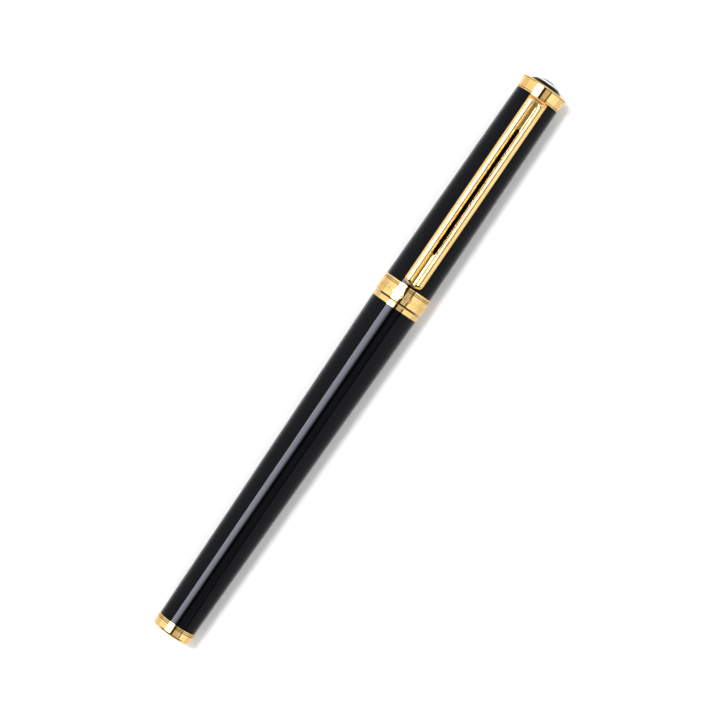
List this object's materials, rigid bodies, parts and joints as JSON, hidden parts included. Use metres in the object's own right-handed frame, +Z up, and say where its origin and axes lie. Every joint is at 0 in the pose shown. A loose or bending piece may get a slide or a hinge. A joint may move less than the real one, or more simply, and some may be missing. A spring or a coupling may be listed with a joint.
{
  "type": "rollerball pen",
  "caption": "Slim capped rollerball pen lying clip-up: tapered lacquered barrel and cap, gilt end cap, band, crown and two-ribbed clip, with its section and refill inside.",
  "frame": {"origin": "under the middle of the pen's length, on the surface that it lies on", "axes": "+X along the pen from its tail to the crown of the cap, which is also the way the writing tip points; +Z up, out of the cap on the clip's side; +Y completes the right-handed frame"},
  "size_m": [0.1376, 0.011, 0.0125],
  "materials": {
    "black_lacquer": "gloss lacquer",
    "gold_plate": "polished gold plate",
    "brass": "turned brass",
    "black_resin": "gloss",
    "ivory_resin": "gloss",
    "spring_steel": "drawn wire",
    "screw_steel": "turned",
    "refill_plastic": "satin",
    "plug_plastic": "satin",
    "inked_fibre": "matt fibre",
    "nose_plastic": "satin",
    "feed_fibre": "matt fibre",
    "tip_steel": "turned",
    "carbide": "ground",
    "liner_plastic": "satin"
  },
  "bodies": {
    "barrel": {"barrel_tube": "black_lacquer", "tail_cap": "gold_plate", "refill_spring": "spring_steel", "barrel_bush": "brass", "barrel_front_ring": "gold_plate"},
    "refill": {"refill_tube": "refill_plastic", "refill_plug": "plug_plastic", "ink_wick": "inked_fibre", "refill_nose": "nose_plastic", "feed_rod": "feed_fibre", "tip_socket": "tip_steel"},
    "ball": {"tip_ball": "carbide"},
    "section": {"section_nipple": "brass", "clutch_ring": "black_resin", "grip": "black_resin", "grip_ring": "gold_plate", "nose_cone": "gold_plate"},
    "cap": {"cap_tube": "black_lacquer", "cap_band": "gold_plate", "clutch_sleeve": "brass", "inner_cap": "liner_plastic", "cap_stud": "brass", "crown": "gold_plate", "jewel": "black_resin", "jewel_inlay": "ivory_resin", "finial_screw": "screw_steel"},
    "clip": {"clip": "gold_plate"}
  },
  "joints": [
    {"name": "section_turn", "type": "hinge", "parent": "refill", "child": "section", "pos_m": [0.01377, 0, 0.0055], "axis": [1, 0, 0], "range_deg": [0, 2160]},
    {"name": "refill_advance", "type": "slide", "parent": "barrel", "child": "refill", "axis": [1, 0, 0], "range_m": [0, 0.006]},
    {"name": "cap_pull", "type": "slide", "parent": "section", "child": "cap", "axis": [1, 0, 0], "range_m": [0, 0.055]},
    {"name": "clip_lift", "type": "hinge", "parent": "cap", "child": "clip", "pos_m": [0.06385, 0, 0.0101], "axis": [0, 1, 0], "range_deg": [0, 3], "stiffness_Nm_per_rad": 2},
    {"name": "ball_roll", "type": "hinge", "parent": "refill", "child": "ball", "pos_m": [0.0504, 0, 0.0055], "axis": [0, 1, 0], "continuous": true}
  ],
  "couplings": [
    {"joint": "refill_advance", "follows": "section_turn", "m_per_rad": 0.00015915}
  ]
}
